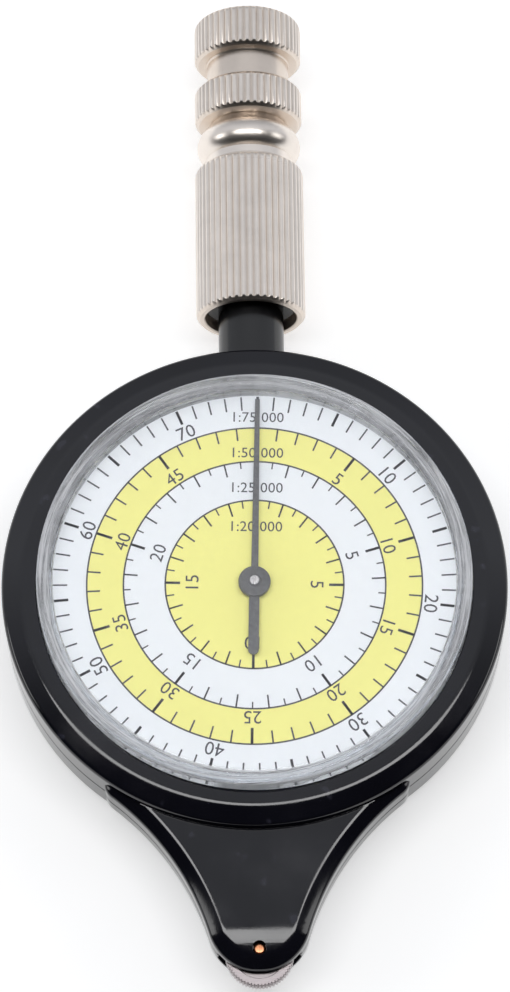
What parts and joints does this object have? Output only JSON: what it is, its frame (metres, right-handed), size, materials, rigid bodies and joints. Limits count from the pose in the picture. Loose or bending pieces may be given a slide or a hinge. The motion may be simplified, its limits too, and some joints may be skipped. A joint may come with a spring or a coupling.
{
  "type": "map measurer",
  "caption": "Map measurer with a round two-faced dial case, a toothed tracing wheel at the nose, a knurled handle and a gear train to the hands.",
  "frame": {"origin": "centre of the flat outer face of the rear lens, on the axis of the hands", "axes": "+Z through the front dial, +Y from the dial centre towards the handle, -Y towards the tracing wheel"},
  "size_m": [0.05, 0.1024, 0.012],
  "materials": {
    "case_plastic": "glossy moulded black",
    "stem_plastic": "smooth moulded black",
    "lens_clear": "clear moulded lens with a polished face",
    "dial_print": "printed card in white and pale yellow rings",
    "hand_black": "dark painted sheet",
    "arbor_steel": "turned steel",
    "gear_brass": "cut brass",
    "wheel_nickel": "bright plated, fine teeth round the rim",
    "axle_copper": "turned copper-coloured pin",
    "handle_metal": "bright turned metal with a straight knurl"
  },
  "bodies": {
    "housing": {"front_case": "case_plastic", "rear_case": "case_plastic", "front_lens": "lens_clear", "rear_lens": "lens_clear", "front_dial": "dial_print", "rear_dial": "dial_print", "idler_pin": "arbor_steel", "handle_stem": "stem_plastic", "handle_collar": "stem_plastic", "knurled_handle": "handle_metal"},
    "hands": {"centre_arbor": "arbor_steel", "centre_gear": "gear_brass", "front_hand": "hand_black", "rear_hand": "hand_black"},
    "first_wheel": {"first_arbor": "arbor_steel", "first_pinion": "arbor_steel", "first_gear": "gear_brass"},
    "idler": {"idler_gear": "gear_brass"},
    "tracer": {"wheel_axle": "axle_copper", "wheel_pinion": "gear_brass", "tracing_wheel": "wheel_nickel"}
  },
  "joints": [
    {"name": "hand_turn", "type": "hinge", "parent": "housing", "child": "hands", "pos_m": [0, 0, 0.006], "axis": [0, 0, 1], "continuous": true},
    {"name": "first_arbor_turn", "type": "hinge", "parent": "housing", "child": "first_wheel", "pos_m": [0, -0.0144, 0.006], "axis": [0, 0, 1], "continuous": true},
    {"name": "idler_turn", "type": "hinge", "parent": "housing", "child": "idler", "pos_m": [0, -0.0304, 0.006], "axis": [0, 0, 1], "continuous": true},
    {"name": "tracing_wheel_turn", "type": "hinge", "parent": "housing", "child": "tracer", "pos_m": [0, -0.0364, 0.006], "axis": [0, 0, 1], "continuous": true}
  ],
  "couplings": [
    {"joint": "first_arbor_turn", "follows": "hand_turn", "ratio": -8},
    {"joint": "idler_turn", "follows": "hand_turn", "ratio": 24},
    {"joint": "tracing_wheel_turn", "follows": "hand_turn", "ratio": -48}
  ]
}
